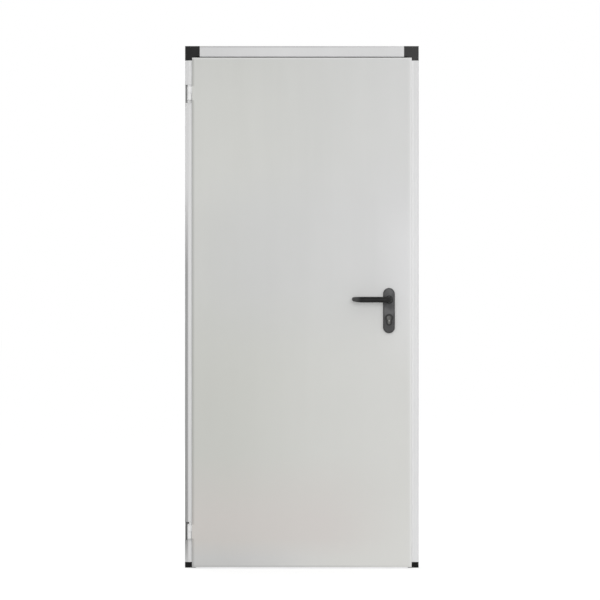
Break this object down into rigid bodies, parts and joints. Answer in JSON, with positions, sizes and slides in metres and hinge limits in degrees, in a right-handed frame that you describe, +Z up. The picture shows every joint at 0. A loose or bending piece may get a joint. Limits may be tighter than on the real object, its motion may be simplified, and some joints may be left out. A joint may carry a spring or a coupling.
{
  "type": "steel door",
  "caption": "Flush sheet-steel door leaf in a three-sided folded steel frame with plastic corner joints, foot caps, lift-off hinges and a lever handle set.",
  "frame": {"origin": "on the wall-side face of the hinge jamb's wall flange, in the middle of its width, at floor level", "axes": "+Z up, +Y through the doorway into the wall, +X from the hinge side to the latch side"},
  "size_m": [0.924, 0.1732, 2.062],
  "materials": {
    "frame_paint": "satin light grey coating",
    "leaf_paint": "satin light grey coating",
    "black_plastic": "matt black moulding",
    "handle_plastic": "satin black moulding",
    "zinc_steel": "zinc plated",
    "cylinder_brass": "nickel plated",
    "seal_rubber": "matt black strip",
    "paper_core": "paper honeycomb"
  },
  "bodies": {
    "frame": {"hinge_jamb": "frame_paint", "latch_jamb": "frame_paint", "head_profile": "frame_paint", "corner_joint_hinge_side": "black_plastic", "corner_joint_latch_side": "black_plastic", "foot_cap_hinge_side": "black_plastic", "foot_cap_latch_side": "black_plastic", "strike_plate": "zinc_steel", "door_seal": "seal_rubber", "upper_hinge_frame_wing": "frame_paint", "lower_hinge_frame_wing": "frame_paint", "upper_hinge_pin": "frame_paint", "lower_hinge_pin": "frame_paint"},
    "leaf": {"front_skin": "leaf_paint", "back_skin": "leaf_paint", "honeycomb_core": "paper_core", "top_edge_channel": "zinc_steel", "bottom_edge_channel": "zinc_steel", "upper_hinge_leaf_wing": "frame_paint", "lower_hinge_leaf_wing": "frame_paint", "lock_case": "zinc_steel", "lock_faceplate": "zinc_steel", "latch_bolt": "zinc_steel", "dead_bolt": "zinc_steel", "lock_cylinder": "cylinder_brass", "front_backplate": "handle_plastic", "rear_backplate": "handle_plastic"},
    "lever": {"front_lever": "handle_plastic", "rear_lever": "handle_plastic", "spindle": "zinc_steel"}
  },
  "joints": [
    {"name": "leaf_swing", "type": "hinge", "parent": "frame", "child": "leaf", "pos_m": [0.013, -0.036, 1], "axis": [0, 0, -1], "range_deg": [0, 170]},
    {"name": "lever_turn", "type": "hinge", "parent": "leaf", "child": "lever", "pos_m": [0.799, -0.036, 1.059], "axis": [0, -1, 0], "range_deg": [0, 40], "stiffness_Nm_per_rad": 2, "springref_deg": -20.05}
  ]
}
